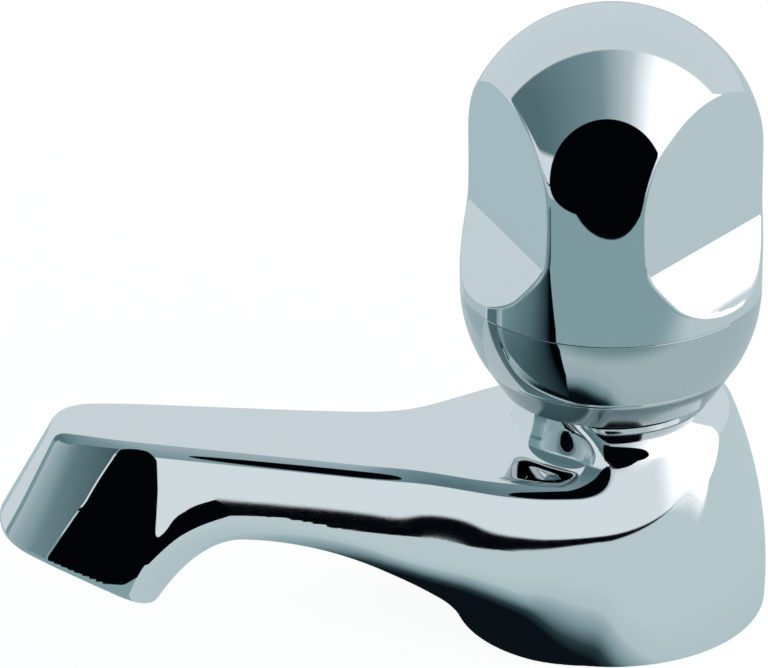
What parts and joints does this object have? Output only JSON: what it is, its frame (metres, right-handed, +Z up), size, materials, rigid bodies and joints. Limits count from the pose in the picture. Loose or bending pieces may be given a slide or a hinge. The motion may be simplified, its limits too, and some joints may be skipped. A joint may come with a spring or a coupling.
{
  "type": "pillar tap",
  "caption": "Deck-mounted basin pillar tap: bell-shaped body with flat-topped arched spout, capsule knob with finger facets, rising-washer valve and threaded tail.",
  "frame": {"origin": "centre of the body's underside on the knob's turning axis, in the plane of the basin deck", "axes": "+Z up along the knob's axis, spout along -Y, +X to the side that the picture was taken from"},
  "size_m": [0.0504, 0.1215, 0.1464],
  "materials": {
    "body_chrome": "polished chrome plate on brass",
    "knob_chrome": "polished chrome plate on die-cast zinc",
    "brass": "turned brass",
    "rubber": "matt black rubber",
    "fibre": "pressed red fibre",
    "white_plastic": "moulded off-white plastic",
    "stainless": "plain stainless steel"
  },
  "bodies": {
    "tap_body": {"body": "body_chrome", "base_gasket": "rubber", "inlet_tail": "brass", "tail_seal": "fibre", "deck_washer": "white_plastic", "backnut": "brass", "valve_seat": "stainless", "headwork_body": "brass", "headwork_washer": "fibre", "outlet_insert": "white_plastic", "outlet_seal": "rubber"},
    "knob": {"spindle": "brass", "spindle_o_ring_lower": "rubber", "spindle_o_ring_upper": "rubber", "spindle_circlip": "stainless", "handle_hub": "white_plastic", "handle_base": "knob_chrome", "handle_shell": "knob_chrome", "shell_spring_ring": "stainless", "skirt_screws": "stainless", "handle_screw": "stainless", "screw_washer": "stainless"},
    "jumper": {"jumper": "brass", "tap_washer": "rubber", "washer_nut": "brass"}
  },
  "joints": [
    {"name": "knob_turn", "type": "hinge", "parent": "tap_body", "child": "knob", "pos_m": [0, 0, 0.06], "axis": [0, 0, 1], "range_deg": [0, 540]},
    {"name": "jumper_lift", "type": "slide", "parent": "tap_body", "child": "jumper", "axis": [0, 0, 1], "range_m": [0, 0.00375]}
  ],
  "couplings": [
    {"joint": "jumper_lift", "follows": "knob_turn", "m_per_rad": 0.00039789}
  ]
}
